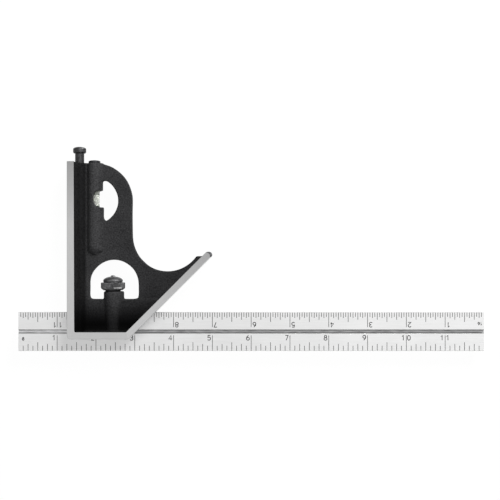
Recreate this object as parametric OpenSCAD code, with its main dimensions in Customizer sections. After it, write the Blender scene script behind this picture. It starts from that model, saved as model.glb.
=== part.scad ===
// Combination square: a 12 inch rule that slides through a cast head, which has a ground
// 90 degree face, a ground 45 degree face, a spirit level and a scriber. It lies on its back:
// X runs along the rule, Y along the 90 degree face and Z through the thickness. The origin
// is the heel, where the base, the 90 degree face and the rear ground face meet.

/* [Head] */
// Thickness across the ground faces
head_t = 20; // [18:0.5:24]
// Height of the 90 degree face
head_h = 115; // [113:0.5:122]
// Length of the base, from the heel to the 45 degree face
base_l = 39.5; // [38:0.5:44]
// Length of the 45 degree face
mitre_l = 77; // [74:1:84]
// Width of the ground band along the 90 degree face
square_band = 4.85; // [4:0.05:5.5]
// Width of the ground band along the base
base_band = 4.95; // [4:0.05:6]
// Width of the ground band along the 45 degree face
mitre_band = 4.15; // [3.5:0.05:5]
// Thickness of the web between the bands
web_t = 5; // [4:0.25:6]
// Radius of the rounded heel
heel_r = 2; // [0.5:0.25:3]
// Radius where the bands meet inside
pocket_r = 1; // [0.5:0.25:2]
// How far the casting stops below the end of the band
top_step = 0.5; // [0.2:0.1:1]

/* [Outline] */
// Width of the straight neck, from the 90 degree face
neck_w = 40.8; // [40:0.2:44]
// Radius of the rounded crown
crown_r = 24.3; // [22:0.1:26]
// Radius of the throat between the neck and the 45 degree arm
throat_r = 23.3; // [21:0.1:24.5]
// Height of the throat's centre above the base
throat_y = 67; // [66:0.5:70]
// Height at which the web of the arm stops
arm_web_h = 53.65; // [50:0.25:56]

/* [Lower block] */
// Thickness of the block at the window's floor
block_top_t = 7.2; // [6.5:0.1:8]
// Thickness of the block at the base
block_foot_t = 10.4; // [9:0.1:12]

/* [Arch window] */
// Width of the window that the lock nut stands in
window_w = 32.9; // [30:0.1:34]
// Height of the window's floor above the base
window_floor = 25.5; // [24.5:0.1:27]
// Height of its straight sides
window_side = 9.7; // [9:0.1:11]
// Radius of its lower corners
window_r = 0.85; // [0.4:0.05:2]

/* [Rule] */
// Length of the rule
rule_l = 304.8; // [152.4, 304.8, 457.2, 609.6]
// Width of the rule
rule_w = 25.4; // [25:0.1:26]
// Thickness of the rule
rule_t = 2.4; // [2:0.1:2.6]
// Length of the rule to the left of the 90 degree face
rule_left = 33.4; // [20:0.2:60]
// Height of the rule's seat above the base
rule_seat = 16.95; // [16:0.05:18]
// Width of the groove along the rule
groove_w = 2.43; // [2.2:0.01:2.8]
// Depth of the groove
groove_depth = 0.8; // [0.6:0.05:1]

/* [Lock] */
// Distance of the bolt's axis from the 90 degree face
bolt_x = 28.4; // [27:0.1:30]
// Diameter of the bolt's body
bolt_d = 9.5; // [9:0.1:10]
// Diameter of its threaded shank
thread_d = 4.8; // [4:0.1:5]
// Length of the bolt's full round body
bolt_body_l = 4.35; // [3.5:0.05:5]
// Height of the lug that hooks into the groove
lug_h = 1.5; // [1.2:0.05:1.6]
// Diameter of the cast boss round the bolt
lock_boss_d = 13.2; // [12.4:0.1:14.4]
// Distance from the bolt's axis to the boss's own axis
boss_shift = 0.5; // [0:0.1:0.8]
// Height of the boss above the window's floor
boss_rise = 5.1; // [4.5:0.1:6]
// Wall of the boss that the nut pulls against
boss_wall = 2.9; // [2:0.1:3.5]
// Wire of the spring inside the boss
spring_wire = 0.8; // [0.5:0.1:0.9]
// Turns of that spring
spring_turns = 4; // [3:1:5]

/* [Lock nut] */
// Diameter of the knurled ring
nut_d = 15.75; // [14.5:0.05:17]
// Thickness of the knurled ring
nut_ring_t = 3.6; // [3:0.1:5]
// Diameter of the domed top at its widest
nut_dome_d = 12.9; // [11:0.1:13.5]
// Height of the domed top above the ring
nut_dome_h = 4; // [3.4:0.1:5]
// Diameter of the neck that bears on the boss
nut_neck_d = 10; // [9:0.1:11.5]
// Ridges of the knurl
knurl_count = 52; // [30:2:70]
// Depth of the knurl
knurl_depth = 0.35; // [0.2:0.05:0.5]

/* [Level] */
// Distance of the level's axis from the 90 degree face
vial_x = 16.7; // [16:0.1:17.5]
// Diameter of the cast boss round the level
vial_boss_d = 10.8; // [10:0.1:11.4]
// Height above the base at which that boss ends
vial_boss_foot = 55.2; // [54:0.2:60]
// Outer diameter of the glass vial
vial_d = 5.8; // [5:0.1:6]
// Wall of the glass
glass_wall = 0.7; // [0.5:0.05:0.9]
// Length of the glass vial
vial_l = 42; // [36:1:44]
// Length of the bubble
bubble_l = 7; // [5:0.5:9]
// Distance between the two lines on the glass
line_gap = 7.4; // [6:0.2:10]
// Radius of the large opening beside the level
sight_r = 15.3; // [13:0.1:16]
// Distance from the level's axis to the straight side of that opening
sight_edge = 4.9; // [4.2:0.1:5.3]
// Radius of the opening's two corners
sight_corner_r = 1.5; // [0.8:0.1:2.5]
// Radius of the round hole that bares the glass
sight_hole_r = 5.35; // [4.5:0.05:6]
// Distance from the level's axis to that hole's axis
sight_hole_shift = 4.1; // [3:0.1:5]
// Diameter of the plug's head
plug_d = 7.5; // [7:0.1:8.5]

/* [Scriber] */
// Distance of the scriber's axis from the 90 degree face
scriber_x = 6.5; // [6:0.1:7]
// Diameter of the cast boss round the scriber
scriber_boss_d = 10.8; // [10:0.1:11.6]
// Width of the flat land beside the 90 degree band
land_w = 3.45; // [2.5:0.05:4]
// Diameter of the scriber's shank
shank_d = 5.9; // [5:0.1:6]
// Diameter of the scriber's knob
knob_d = 8.5; // [7.5:0.1:9.5]
// Height of the knob's underside above the casting
shank_rise = 6.45; // [4:0.05:9]
// Diameter of the scriber's thin stem
stem_d = 3.2; // [2.5:0.1:3.6]
// Depth of the scriber's point below the top of the casting
scriber_reach = 52; // [40:1:56]
// Length of the bushing that grips the shank
bushing_l = 9; // [6:0.5:12]
// Wall of the bushing
bushing_wall = 0.6; // [0.4:0.05:0.8]

/* [Hidden] */
$fn = 64;

// Clearances: running fits, the rule in its slot, and the small gaps round a part set in a bore
fit = 0.05;
slot_gap = 0.05;
set_gap = 0.02;
over = 1;

mid = head_t / 2;
casting_top = head_h - top_step;
crown = [neck_w - crown_r, casting_top - crown_r];
throat = [neck_w + throat_r, throat_y];
far = head_h + mitre_l;

// The rule and its groove
rule_foot = rule_seat - rule_w;
rule_face = mid + rule_t / 2;
groove_top = rule_seat - rule_w / 2 + groove_w / 2;

// The arch window stands over the bolt's boss
boss_x = bolt_x + boss_shift;
window_off = 0.25;
window_x = boss_x + window_off;
arch_y = window_floor + window_side;

// The lock, from the lug in the groove to the nut
boss_top = window_floor + boss_rise;
boss_edge = 0.4;
lug_foot = 1;
bolt_foot = groove_top - lug_h - lug_foot;
groove_floor_gap = 0.15;
face_gap = 0.1;
body_gap = 1;
body_y = rule_seat + body_gap;
shoulder_y = body_y + bolt_body_l;
spring_seat_y = boss_top - boss_wall;
spring_gap = 0.1;
spring_r = (bolt_d + thread_d) / 4;
wire_sides = 8;
coil_steps = 16;
coil_rise = (spring_seat_y - shoulder_y - 2 * spring_gap - spring_wire) / spring_turns;
neck_h = 0.75;
cone_h = 1.35;
cone_step = 1.5;
cone_d = nut_d - 2 * cone_step;
dome_under = 0.8;
dome_lip = 1.1;
tip_rise = 1.2;
tip_edge = 0.9;
ring_y = boss_top + neck_h + cone_h;
dome_y = ring_y + nut_ring_t;
nut_top = dome_y + nut_dome_h;
tip_y = nut_top + tip_rise;

// The level, centred on the opening beside it
vial_rise = 0.7;
vial_y = crown[1] + vial_rise;
vial_bore_gap = 0.3;
vial_bore_d = vial_d + 2 * vial_bore_gap;
vial_r = vial_d / 2 - glass_wall;
stopper_gap = 0.15;
stopper_r = vial_r - stopper_gap;
barrel_sag = 0.05;
vial_foot = vial_y - vial_l / 2;
vial_round = 1.2;
stopper_l = 3;
bubble_r = 1.5;
bubble_rise = 1;
bubble_gap = 0.1;
bore_rest = 1.5;
bore_foot = vial_foot - bore_rest;
line_w = 0.4;
line_t = 0.05;
bed_l = 5;
bed_inset = 2;
plug_rim = 1.1;
plug_dome = 0.9;
plug_stem = 2.4;
sight_x = vial_x + sight_edge;
land_rise = 0.1;

// The scriber
knob_edge = 0.66;
knob_side = 2.15;
knob_dome = 1.9;
shank_pass = 1.5;
shank_depth = bushing_l + shank_pass;
shank_cone = 2;
point_l = 9;
point_d = 0.4;
slit_w = 0.6;

// Children are drawn upright and laid along the 90 degree face, standing at height y on the axis at x
module along_y(x, y, z = mid) translate([x, y, z]) rotate([-90, 0, 0]) children();

// A slab of the head: full thickness, or centred with its own thickness
module slab(t = head_t) translate([0, 0, mid - t / 2]) linear_extrude(t) children();

// Material that fills an inside corner at v, between the directions a and b, with radius r
module corner_fill(v, a, b, r) {
    half = acos(a * b) / 2;
    tangent = r / tan(half);
    centre = v + (a + b) / norm(a + b) * r / sin(half);
    difference() {
        polygon([v, v + a * tangent, centre, v + b * tangent]);
        translate(centre) circle(r);
    }
}

// The 45 degree band in its own axes: x along the face, y into the head
module mitre_strip() {
    round_r = mitre_band / 2;
    intersection() {
        translate([base_l, 0]) rotate(45) union() {
            translate([-mitre_band, 0]) square([mitre_l + mitre_band - round_r, mitre_band]);
            translate([mitre_l - round_r, round_r]) circle(round_r);
        }
        square(far);
    }
}

// Outline of the ground bands
module bands() {
    inner_l = base_l - mitre_band * sqrt(2) + base_band;
    square([square_band, head_h]);
    square([base_l, base_band]);
    mitre_strip();
    corner_fill([square_band, base_band], [1, 0], [0, 1], pocket_r);
    corner_fill([inner_l, base_band], [-1, 0], [1, 1] / sqrt(2), pocket_r);
}

// Outline of the casting between the bands
module casting_outline() {
    square([neck_w, crown[1]]);
    square([crown[0], casting_top]);
    translate(crown) intersection() {
        circle(crown_r, $fn = 128);
        square(2 * crown_r);
    }
    difference() {
        polygon([[0, 0], [base_l, 0], [base_l + throat_y, throat_y], [0, throat_y]]);
        translate(throat) circle(throat_r, $fn = 128);
        translate([throat[0], arm_web_h]) square(far);
        mitre_cut();
    }
}

// Everything outside the 45 degree face
module mitre_cut() translate([base_l, 0]) rotate(45) translate([0, -far]) square([far, far]);

// The arch window: straight sides, a round top and rounded lower corners
module arch_window() {
    r = window_w / 2;
    intersection() {
        translate([window_x, arch_y]) circle(r, $fn = 128);
        translate([window_x - r, arch_y]) square(2 * r);
    }
    translate([window_x - r + window_r, window_floor]) square([window_w - 2 * window_r, window_side]);
    translate([window_x - r, window_floor + window_r]) square([window_w, window_side - window_r]);
    for (side = [-1, 1])
        translate([window_x + side * (r - window_r), window_floor + window_r]) circle(window_r);
}

// Points of an arc round c, from angle a to angle b, in n steps
function arc(c, r, a, b, n) = [for (i = [0 : n]) c + r * [cos(a + (b - a) * i / n), sin(a + (b - a) * i / n)]];

// The opening beside the level: part of a disc, with its two corners rounded
module sight_opening() {
    corner_x = sight_x + sight_corner_r - crown[0];
    corner_y = sqrt(pow(sight_r - sight_corner_r, 2) - corner_x * corner_x);
    turn = atan2(corner_y, corner_x);
    translate(crown) polygon(concat(
        arc([0, 0], sight_r, -turn, turn, 48),
        arc([corner_x, corner_y], sight_corner_r, turn, 180, 10),
        arc([corner_x, -corner_y], sight_corner_r, 180, 360 - turn, 10)));
}

// The thick block round the rule's slot, which swells towards the base
module lower_block() {
    intersection() {
        rotate([90, 0, 90]) linear_extrude(far) polygon([
            [0, mid - block_foot_t / 2], [base_band, mid - block_foot_t / 2],
            [window_floor, mid - block_top_t / 2], [window_floor, mid + block_top_t / 2],
            [base_band, mid + block_foot_t / 2], [0, mid + block_foot_t / 2]]);
        slab() casting_outline();
    }
}

// The half round rib over the level, with a round lower end
module level_rib() {
    r = vial_boss_d / 2;
    along_y(vial_x, vial_boss_foot) rotate_extrude() {
        translate([0, r]) square([r, casting_top - vial_boss_foot - r]);
        intersection() {
            translate([0, r]) circle(r);
            square([r, r]);
        }
    }
}

// The rib over the scriber, with its flat land against the band
module scriber_rib() {
    r = scriber_boss_d / 2;
    along_y(scriber_x, 0) cylinder(casting_top, r = r);
    translate([square_band - over, 0, mid - r - land_rise])
        cube([land_w + over, casting_top, 2 * (r + land_rise)]);
}

// The boss that the lock nut stands on
module lock_boss() {
    r = lock_boss_d / 2;
    along_y(boss_x, base_band) cylinder(boss_top - base_band - boss_edge, r = r);
    along_y(boss_x, boss_top - boss_edge) cylinder(boss_edge, r1 = r, r2 = r - boss_edge);
}

// Bores for the bolt, the level and the scriber
module bores() {
    along_y(bolt_x, -over) cylinder(spring_seat_y + over, d = bolt_d + 2 * fit);
    along_y(bolt_x, spring_seat_y - over) cylinder(boss_wall + 2 * over, d = thread_d + 4 * fit);
    along_y(vial_x, bore_foot) cylinder(casting_top - bore_foot + over, d = vial_bore_d);
    along_y(scriber_x, casting_top - scriber_reach - over)
        cylinder(scriber_reach + 2 * over, d = shank_d + 4 * fit);
    along_y(scriber_x, casting_top - bushing_l)
        cylinder(bushing_l + over, d = shank_d + 2 * (fit + bushing_wall + set_gap));
}

// Slot that the rule slides through
module rule_slot() {
    t = rule_t + 2 * slot_gap;
    translate([-over, -over, mid - t / 2]) cube([far, rule_seat + over, t]);
}

module square_head() color([0.2, 0.2, 0.21]) difference() {
    union() {
        difference() {
            union() {
                slab(web_t) casting_outline();
                lower_block();
                level_rib();
                scriber_rib();
            }
            slab(head_t + over) arch_window();
            slab(head_t + over) sight_opening();
            slab(head_t + over) translate([vial_x + sight_hole_shift, vial_y]) circle(sight_hole_r);
        }
        slab() bands();
        lock_boss();
    }
    bores();
    rule_slot();
    slab(head_t + over) difference() {
        translate([-over, -over]) square(heel_r + over);
        translate([heel_r, heel_r]) circle(heel_r);
    }
}

module rule() color([0.78, 0.78, 0.77]) difference() {
    translate([-rule_left, rule_foot, mid - rule_t / 2]) cube([rule_l, rule_w, rule_t]);
    translate([-rule_left - over, groove_top - groove_w, rule_face - groove_depth])
        cube([rule_l + 2 * over, groove_w, groove_depth + over]);
}

// Bolt with a flat that clears the rule's face and a lug that hooks into its groove
module lock_bolt() color([0.45, 0.45, 0.46]) {
    flat_z = rule_face + face_gap;
    lug_z = rule_face - groove_depth + groove_floor_gap;
    intersection() {
        along_y(bolt_x, bolt_foot) cylinder(shoulder_y - bolt_foot, d = bolt_d);
        union() {
            translate([bolt_x - bolt_d, bolt_foot, flat_z]) cube([2 * bolt_d, body_y - bolt_foot, bolt_d]);
            translate([bolt_x - bolt_d, groove_top - lug_h, lug_z]) cube([2 * bolt_d, lug_h, bolt_d]);
            translate([bolt_x - bolt_d, body_y, 0]) cube([2 * bolt_d, bolt_body_l, head_t]);
        }
    }
    along_y(bolt_x, shoulder_y) cylinder(tip_y - tip_edge - shoulder_y, d = thread_d);
    along_y(bolt_x, tip_y - tip_edge) cylinder(tip_edge, d1 = thread_d, d2 = thread_d - 2 * tip_edge);
}

// Half section of the nut, from its axis out and from the boss up
module nut_section() {
    edge = nut_d / 2 + set_gap;
    cap_h = nut_dome_h - dome_lip;
    cap_w = nut_dome_d / 2;
    cap_r = (cap_w * cap_w + cap_h * cap_h) / (2 * cap_h);
    ring_base = neck_h + cone_h;
    ring_end = ring_base + nut_ring_t;
    polygon([[0, 0], [nut_neck_d / 2, 0], [nut_neck_d / 2, neck_h], [cone_d / 2, neck_h], [edge, ring_base],
        [edge, ring_end], [cap_w - dome_under / 2, ring_end], [cap_w, ring_end + dome_lip], [0, ring_end + dome_lip]]);
    intersection() {
        translate([0, ring_end + nut_dome_h - cap_r]) circle(cap_r, $fn = 128);
        translate([0, ring_end + dome_lip]) square([cap_w, cap_h]);
    }
}

// Outline of the knurled ring
module knurl_outline() {
    tip = nut_d / 2;
    polygon([for (i = [0 : 2 * knurl_count - 1])
        let (r = tip - (i % 2) * knurl_depth, a = i * 180 / knurl_count) [r * cos(a), r * sin(a)]]);
}

module lock_nut() color([0.3, 0.3, 0.31]) along_y(bolt_x, boss_top) difference() {
    intersection() {
        rotate_extrude() nut_section();
        linear_extrude(nut_top + over) knurl_outline();
    }
    translate([0, 0, -over]) cylinder(nut_top, d = thread_d + 2 * fit);
}

// Point k round the spring's wire, at step i of its turns
function wire_point(i, k) =
    let (turn = 360 * i / coil_steps, side = 360 * k / wire_sides,
        r = spring_r + spring_wire / 2 * cos(side))
    [r * cos(turn), r * sin(turn), spring_wire / 2 * (1 + sin(side)) + coil_rise * i / coil_steps];

// Round wire wound between the bolt's shoulder and the end of its bore
module lock_spring() color([0.6, 0.6, 0.62]) {
    steps = coil_steps * spring_turns;
    points = [for (i = [0 : steps]) for (k = [0 : wire_sides - 1]) wire_point(i, k)];
    walls = [for (i = [0 : steps - 1]) for (k = [0 : wire_sides - 1])
        let (n = (k + 1) % wire_sides, a = i * wire_sides, b = a + wire_sides) [a + k, a + n, b + n, b + k]];
    foot = [for (k = [wire_sides - 1 : -1 : 0]) k];
    head = [for (k = [0 : wire_sides - 1]) steps * wire_sides + k];
    along_y(bolt_x, shoulder_y + spring_gap) polyhedron(points, concat(walls, [foot, head]), convexity = 10);
}

// Pin with a mushroom knob, a shank that the bushing grips, and a ground point
module scriber() color([0.33, 0.33, 0.34]) along_y(scriber_x, casting_top) {
    knob_y = shank_rise + knob_edge;
    cap_r = (pow(knob_d / 2, 2) + knob_dome * knob_dome) / (2 * knob_dome);
    translate([0, 0, shank_rise]) cylinder(knob_edge, d1 = knob_d - 2 * knob_edge, d2 = knob_d);
    translate([0, 0, knob_y]) cylinder(knob_side, d = knob_d);
    intersection() {
        translate([0, 0, knob_y + knob_side + knob_dome - cap_r]) sphere(cap_r);
        translate([0, 0, knob_y + knob_side]) cylinder(knob_dome, d = knob_d + over);
    }
    translate([0, 0, -shank_depth]) cylinder(shank_depth + shank_rise, d = shank_d);
    translate([0, 0, -shank_depth - shank_cone]) cylinder(shank_cone, d1 = stem_d, d2 = shank_d);
    translate([0, 0, point_l - scriber_reach])
        cylinder(scriber_reach - point_l - shank_depth - shank_cone, d = stem_d);
    translate([0, 0, -scriber_reach]) cylinder(point_l, d1 = point_d, d2 = stem_d);
}

// Split tube pressed in the casting's top
module scriber_bushing() color([0.72, 0.6, 0.35]) along_y(scriber_x, casting_top - bushing_l) difference() {
    cylinder(bushing_l, d = shank_d + 2 * (fit + bushing_wall));
    translate([0, 0, -over]) cylinder(bushing_l + 2 * over, d = shank_d + 2 * fit);
    translate([-slit_w / 2, 0, -over]) cube([slit_w, shank_d, bushing_l + 2 * over]);
}

// Half section of a rounded rod
module rod_section(r, length, round_r) {
    square([r - round_r, length]);
    translate([0, round_r]) square([r, length - 2 * round_r]);
    for (y = [round_r, length - round_r]) intersection() {
        translate([r - round_r, y]) circle(round_r);
        square([r, length]);
    }
}

// The space inside the vial up to its stopper, widest at the middle, less an even gap
module vial_space(gap) along_y(vial_x, vial_foot + glass_wall + gap) rotate_extrude() {
    length = vial_l - glass_wall - stopper_l - 2 * gap;
    middle = vial_l / 2 - glass_wall - gap;
    r = vial_r - gap;
    polygon([[0, 0], [r - barrel_sag, 0], [r, middle], [r - barrel_sag, length], [0, length]]);
}

// The sausage shape of a bubble, as wide as it would be away from the glass
module bubble_shape(gap) {
    r = bubble_r + gap;
    run = bubble_l / 2 - bubble_r;
    along_y(vial_x, vial_y - run, mid + bubble_rise) cylinder(2 * run, r = r);
    for (side = [-1, 1]) translate([vial_x, vial_y + side * run, mid + bubble_rise]) sphere(r);
}

// Glass tube, closed and rounded at the foot and open at the top
module vial_glass() color([0.85, 0.9, 0.86, 0.5]) difference() {
    along_y(vial_x, vial_foot) rotate_extrude() rod_section(vial_d / 2, vial_l, vial_round);
    vial_space(0);
    along_y(vial_x, vial_foot + vial_l - stopper_l - over) cylinder(stopper_l + 2 * over, r = stopper_r);
}

// Stopper sealed in the open end of the glass
module vial_stopper() color([0.9, 0.9, 0.88])
    along_y(vial_x, vial_foot + vial_l - stopper_l) cylinder(stopper_l, r = stopper_r - set_gap);

module vial_fluid() color([0.75, 0.9, 0.78, 0.6]) difference() {
    vial_space(set_gap);
    bubble_shape(fit);
}

// The bubble floats against the glass
module vial_bubble() color([0.95, 0.97, 0.95, 0.5]) intersection() {
    bubble_shape(0);
    vial_space(bubble_gap);
}

// Ring round the glass, from its own foot up
module glass_ring(y, length, r) along_y(vial_x, y) difference() {
    cylinder(length, r = r);
    translate([0, 0, -over]) cylinder(length + 2 * over, d = vial_d);
}

module vial_lines() color([0.1, 0.1, 0.1]) for (side = [-1, 1])
    glass_ring(vial_y + side * line_gap / 2 - line_w / 2, line_w, vial_d / 2 + line_t);

module vial_bed_upper() color([0.9, 0.88, 0.83])
    glass_ring(vial_foot + vial_l - bed_inset - bed_l, bed_l, vial_bore_d / 2 - set_gap);

module vial_bed_lower() color([0.9, 0.88, 0.83])
    glass_ring(vial_foot + bed_inset, bed_l, vial_bore_d / 2 - set_gap);

// Domed plug that closes the level's bore
module vial_plug() color([0.25, 0.25, 0.26]) along_y(vial_x, casting_top) {
    cap_r = (pow(plug_d / 2, 2) + plug_dome * plug_dome) / (2 * plug_dome);
    cylinder(plug_rim, d = plug_d);
    intersection() {
        translate([0, 0, plug_rim + plug_dome - cap_r]) sphere(cap_r);
        translate([0, 0, plug_rim]) cylinder(plug_dome, d = plug_d + over);
    }
    translate([0, 0, -plug_stem]) cylinder(plug_stem, d = vial_bore_d - 2 * set_gap);
}

square_head();
rule();
lock_bolt();
lock_nut();
lock_spring();
scriber();
scriber_bushing();
vial_glass();
vial_stopper();
vial_fluid();
vial_bubble();
vial_lines();
vial_bed_upper();
vial_bed_lower();
vial_plug();
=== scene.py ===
"""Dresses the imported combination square: the satin chrome rule, the enamelled casting with its
ground faces, the lock, the scriber and the spirit level, in a plain white studio."""

import math

import bmesh
import bpy
from bpy.props import FloatProperty, FloatVectorProperty, IntProperty, PointerProperty
from bpy.types import Operator, Panel, PropertyGroup
from mathutils import Matrix, Vector

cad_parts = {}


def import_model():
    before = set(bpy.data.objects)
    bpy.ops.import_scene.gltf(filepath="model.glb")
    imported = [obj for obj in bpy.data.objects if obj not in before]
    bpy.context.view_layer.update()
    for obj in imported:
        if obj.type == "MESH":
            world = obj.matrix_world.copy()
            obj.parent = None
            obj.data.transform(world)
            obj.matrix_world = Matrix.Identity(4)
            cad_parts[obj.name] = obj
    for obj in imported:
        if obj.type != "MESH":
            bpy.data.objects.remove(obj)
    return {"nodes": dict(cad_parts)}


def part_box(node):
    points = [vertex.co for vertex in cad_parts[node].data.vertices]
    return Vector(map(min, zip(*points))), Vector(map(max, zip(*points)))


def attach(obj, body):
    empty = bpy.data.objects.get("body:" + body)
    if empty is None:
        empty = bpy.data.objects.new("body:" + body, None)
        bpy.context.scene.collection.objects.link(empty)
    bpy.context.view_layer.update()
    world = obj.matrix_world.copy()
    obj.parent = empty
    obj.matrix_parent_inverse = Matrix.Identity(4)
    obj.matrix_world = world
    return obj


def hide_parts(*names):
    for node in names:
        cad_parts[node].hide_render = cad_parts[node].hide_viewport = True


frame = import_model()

bl_info = {
    "name": "Combination square",
    "version": (1, 0, 0),
    "blender": (4, 5, 0),
    "location": "3D View > Sidebar > Square",
    "description": "Builds the looks of a combination square around its packed parts",
    "category": "Add Mesh",
}

# Sizes in millimetres, as in the part's source
MM = 0.001
INCH = 25.4
INCHES = 12
MID = 10.0
HEAD_T = 20.0
SQUARE_BAND = 4.85
BASE_BAND = 4.95
MITRE_BAND = 4.15
MITRE_L = 77.0
BASE_L = 39.5
HEAD_H = 115.0
HEEL_R = 2.0
CASTING_TOP = 114.5
RULE_L = INCH * INCHES
RULE_W = 25.4
RULE_SEAT = 16.95
GROOVE = (11.485, 13.915)
GROOVE_DEPTH = 0.8
SLOT_T = 2.5
BOLT_X = 28.4
BOLT_R = 4.8
SHOULDER_Y = 22.3
BOSS_TOP = 30.6
THREAD_R = 2.4
THREAD_PITCH = 0.794
TIP_Y = 41.1
SCRIBER_X = 6.5
VIAL_X = 16.7
SIGHT_Y = 90.9
DIAGONAL = math.sqrt(0.5)

# The photograph shows the ground bands finer than the solids': along the base by the first, and at the top of
# the 90 degree face by the second. The 45 degree band's inner edge would meet the base line at MITRE_INNER
BASE_FINER = 0.4
SQUARE_TAPER = 0.35
BASE_INNER = BASE_BAND - BASE_FINER
MITRE_INNER = BASE_L - MITRE_BAND / DIAGONAL

# Points of a mesh that lie this close are welded, and a cutting tool reaches this far past a piece
WELD = 0.0005
PAST = 5.0

# The Mix node's coloured inputs and its coloured output, by number: other sockets of it have the same names
TINT_A, TINT_B, TINTED = 6, 7, 2


def linear(code):
    """Linear colour of an sRGB hex code."""
    parts = [int(code[i : i + 2], 16) / 255 for i in (1, 3, 5)]
    return tuple(p / 12.92 if p <= 0.04045 else ((p + 0.055) / 1.055) ** 2.4 for p in parts)


def length(name, description, millimetres):
    """A length property whose default is given in millimetres."""
    return FloatProperty(
        name=name, description=description, default=millimetres * MM, min=0.0, unit="LENGTH", precision=5
    )


def colour(name, description, code):
    """A colour property whose default is an sRGB hex code."""
    return FloatVectorProperty(
        name=name, description=description, default=linear(code), min=0.0, max=1.0, subtype="COLOR"
    )


class SQUARE_PG_rule(PropertyGroup):
    """Sizes and colours of the graduated rule"""

    line_width: length("Line width", "Width of the etched lines on the front", 0.36)
    fine_width: length("Fine line width", "Width of the etched lines on the back", 0.13)
    line_depth: length("Line depth", "Depth of the etched lines", 0.06)
    digit_height: length("Digit height", "Height of the inch numbers", 3.15)
    digit_stroke: length("Digit stroke", "Width of the strokes of the inch numbers", 0.5)
    edge: length("Edge", "Chamfer along the rule's edges", 0.28)
    face_colour: colour("Face", "Satin chrome of the faces", "#f1f1f1")
    paint_colour: colour("Line paint", "Paint in the lines and numbers", "#2a2a2b")


class SQUARE_PG_head(PropertyGroup):
    """Sizes and colours of the square head"""

    grain: length("Surface step", "Size of the cells from which the cast surface is built", 0.43)
    softness: IntProperty(
        name="Softness", description="How far the casting's edges are rounded", default=9, min=0, max=20
    )
    edge: length("Ground edge", "Rounding along the edges of the ground faces", 0.3)
    enamel_colour: colour("Enamel", "Black wrinkle enamel of the casting", "#383839")
    ground_colour: colour("Ground faces", "Ground iron of the faces", "#cbcbcb")


class SQUARE_PG_lock(PropertyGroup):
    """Sizes and colours of the lock"""

    ridges: IntProperty(name="Ridges", description="Ridges of the nut's knurl", default=52, min=12, max=120)
    knurl_depth: length("Knurl depth", "Depth of the nut's knurl", 0.35)
    thread_depth: length("Thread depth", "Depth of the bolt's thread", 0.42)
    nut_colour: colour("Nut", "Black oxide of the lock nut", "#646465")
    bolt_colour: colour("Bolt", "Worn steel of the bolt", "#b8b8b9")


class SQUARE_PG_level(PropertyGroup):
    """Colours of the spirit level"""

    glass_colour: colour("Glass", "Tint of the glass", "#eef0ea")
    spirit_colour: colour("Spirit", "Tint of the spirit", "#eaf0e4")
    line_colour: colour("Lines", "The two lines on the glass", "#16301f")


class SQUARE_PG_scriber(PropertyGroup):
    """Colours of the scriber"""

    steel_colour: colour("Steel", "Blued steel of the scriber", "#464647")
    brass_colour: colour("Brass", "Brass of its bushing", "#b89a5a")


class SQUARE_PG_stage(PropertyGroup):
    """The studio"""

    distance: length("Camera height", "Height of the camera above the floor", 611.2)
    lens: FloatProperty(
        name="Lens", description="Focal length in millimetres", default=65.99, min=10.0, max=300.0
    )
    key_power: FloatProperty(
        name="Key", description="Power of the key lamp", default=5.0, min=0.0, unit="POWER"
    )
    ambient: FloatProperty(
        name="Ambient", description="Strength of the room on plain surfaces", default=0.2, min=0.0, max=2.0
    )


GROUPS = {
    "square_rule": SQUARE_PG_rule,
    "square_head": SQUARE_PG_head,
    "square_lock": SQUARE_PG_lock,
    "square_level": SQUARE_PG_level,
    "square_scriber": SQUARE_PG_scriber,
    "square_stage": SQUARE_PG_stage,
}


def feed(tree, socket, value):
    """Gives a socket its value or its link. A node stands for its first output."""
    if isinstance(value, bpy.types.Node):
        value = value.outputs[0]
    if isinstance(value, bpy.types.NodeSocket):
        tree.links.new(value, socket)
    else:
        socket.default_value = value


def add(tree, kind, inputs=(), **settings):
    """Adds a shader node: settings are its properties, and inputs its values and links, by name or in order.
    A Map Range node takes its value first, then the range that it comes from and the one it goes to."""
    made = tree.nodes.new("ShaderNode" + kind)
    for name, value in settings.items():
        setattr(made, name, value)
    for name, value in inputs.items() if isinstance(inputs, dict) else enumerate(inputs):
        feed(tree, made.inputs[name], value)
    return made


def wire(tree, shader, **sockets):
    """Gives a shader's sockets their values and links."""
    for name, value in sockets.items():
        feed(tree, shader.inputs[name.replace("_", " ")], value)


def material(name, base, **sockets):
    """A material with one Principled shader; returns it with its tree, shader and object coordinates."""
    made = bpy.data.materials.new(name)
    made.use_nodes = True
    tree = made.node_tree
    shader = tree.nodes["Principled BSDF"]
    wire(tree, shader, Base_Color=(*base, 1.0), **sockets)
    return made, tree, shader, add(tree, "TexCoord").outputs["Object"]


def across(millimetres):
    """Scale of a texture whose features measure that much."""
    return 1.0 / (millimetres * MM)


def tone(tree, base, low, high, noise, shade=None):
    """The base colour times low to high, as the noise goes from 0.3 to 0.7, and times the shade."""
    toned = (*base, 1.0)
    spread = add(tree, "MapRange", [noise, 0.3, 0.7, low, high])
    for factor in (spread, shade) if shade else (spread,):
        shades = {"Factor": 1.0, TINT_A: toned, TINT_B: factor}
        toned = add(tree, "Mix", shades, data_type="RGBA", blend_type="MULTIPLY").outputs[TINTED]
    return toned


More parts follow.
